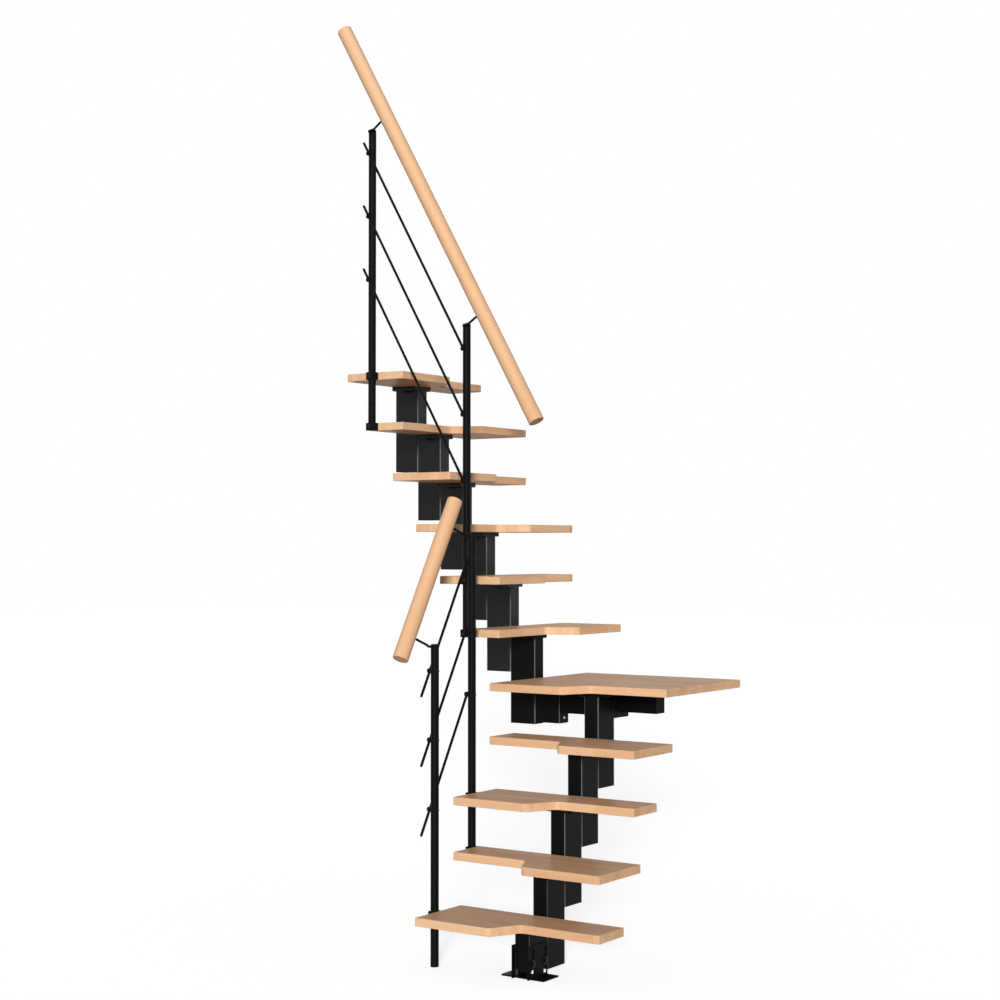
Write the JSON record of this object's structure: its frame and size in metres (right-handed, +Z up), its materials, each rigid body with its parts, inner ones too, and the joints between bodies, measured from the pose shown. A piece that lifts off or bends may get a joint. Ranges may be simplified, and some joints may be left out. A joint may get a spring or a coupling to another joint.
{
  "type": "quarter landing staircase",
  "caption": "Space-saving staircase with alternating wooden treads on a central steel spine, turning left through a quarter landing, with a wooden handrail on steel posts.",
  "frame": {"origin": "centre of the floor shoe's underside, under the lowest spine module", "axes": "+Z up, +Y the way the lower flight climbs, the upper flight climbs towards -X"},
  "size_m": [1.39, 1.1911, 3.5777],
  "materials": {
    "beech_tread": "clear lacquered beech",
    "beech_rail": "clear lacquered beech",
    "spine_steel": "satin black powder coat",
    "balustrade_steel": "satin black powder coat"
  },
  "bodies": {
    "root": {"floor_shoe": "spine_steel", "landing": "beech_tread", "landing_arm": "spine_steel", "landing_beam": "spine_steel", "landing_connector": "spine_steel", "landing_hanger": "spine_steel", "lower_handrail": "beech_rail", "lower_post_saddles": "balustrade_steel", "lower_rod_clamps": "balustrade_steel", "lower_rods": "balustrade_steel", "post_a": "balustrade_steel", "post_b": "balustrade_steel", "post_c": "balustrade_steel", "post_d": "balustrade_steel", "rail_bracket_a": "balustrade_steel", "rail_bracket_b": "balustrade_steel", "rail_bracket_c": "balustrade_steel", "rail_bracket_d": "balustrade_steel", "spine_module_01": "spine_steel", "spine_module_02": "spine_steel", "spine_module_03": "spine_steel", "spine_module_04": "spine_steel", "spine_module_05": "spine_steel", "spine_module_06": "spine_steel", "spine_module_07": "spine_steel", "spine_module_08": "spine_steel", "spine_module_09": "spine_steel", "spine_module_10": "spine_steel", "spine_module_11": "spine_steel", "tread_01": "beech_tread", "tread_02": "beech_tread", "tread_03": "beech_tread", "tread_04": "beech_tread", "tread_06": "beech_tread", "tread_07": "beech_tread", "tread_08": "beech_tread", "tread_09": "beech_tread", "tread_10": "beech_tread", "tread_11": "beech_tread", "upper_handrail": "beech_rail", "upper_post_saddles": "balustrade_steel", "upper_rod_clamps": "balustrade_steel", "upper_rods": "balustrade_steel"}
  },
  "joints": []
}
